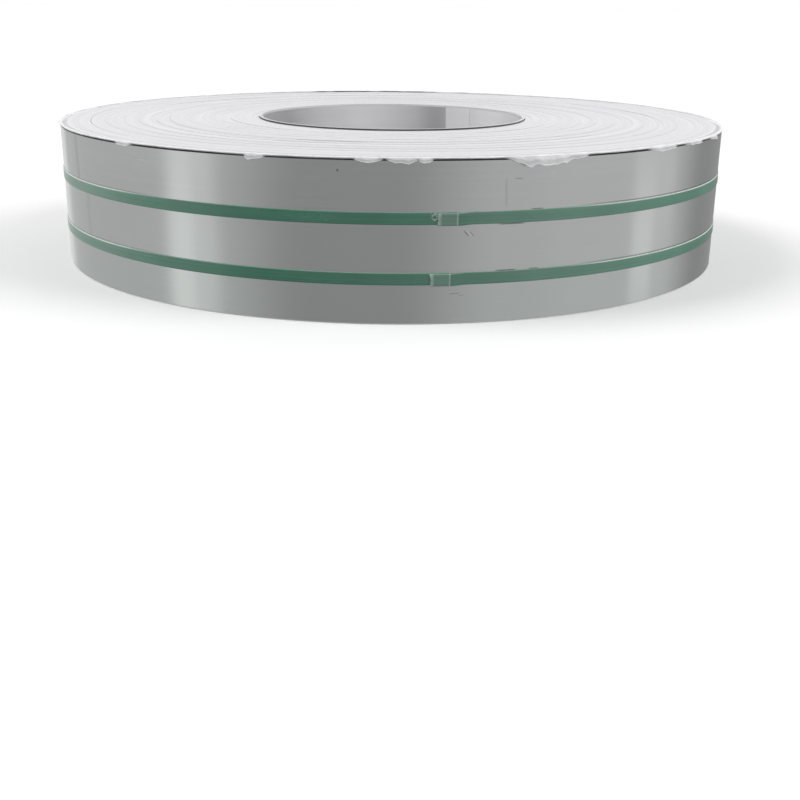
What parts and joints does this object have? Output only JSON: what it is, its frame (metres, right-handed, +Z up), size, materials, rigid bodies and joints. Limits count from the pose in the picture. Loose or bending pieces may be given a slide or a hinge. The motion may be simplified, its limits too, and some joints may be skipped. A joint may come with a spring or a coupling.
{
  "type": "steel coil",
  "caption": "Slit steel strip wound into a wide flat ring round an open bore, lying on its end, held by green plastic straps, with torn clear film folded over its upper rim.",
  "frame": {"origin": "centre of the lower end, on the floor", "axes": "+Z up along the bore's axis; -Y is the side that the picture shows, where the straps' welds are"},
  "size_m": [1.2696, 1.2698, 0.254],
  "materials": {
    "steel_strip": "satin cold-rolled steel strip, slit edges dull",
    "green_strap": "semi-gloss embossed green strapping",
    "clear_film": "crumpled milky film"
  },
  "bodies": {
    "root": {"coil": "steel_strip", "upper_strap": "green_strap", "lower_strap": "green_strap", "edge_film": "clear_film"}
  },
  "joints": []
}
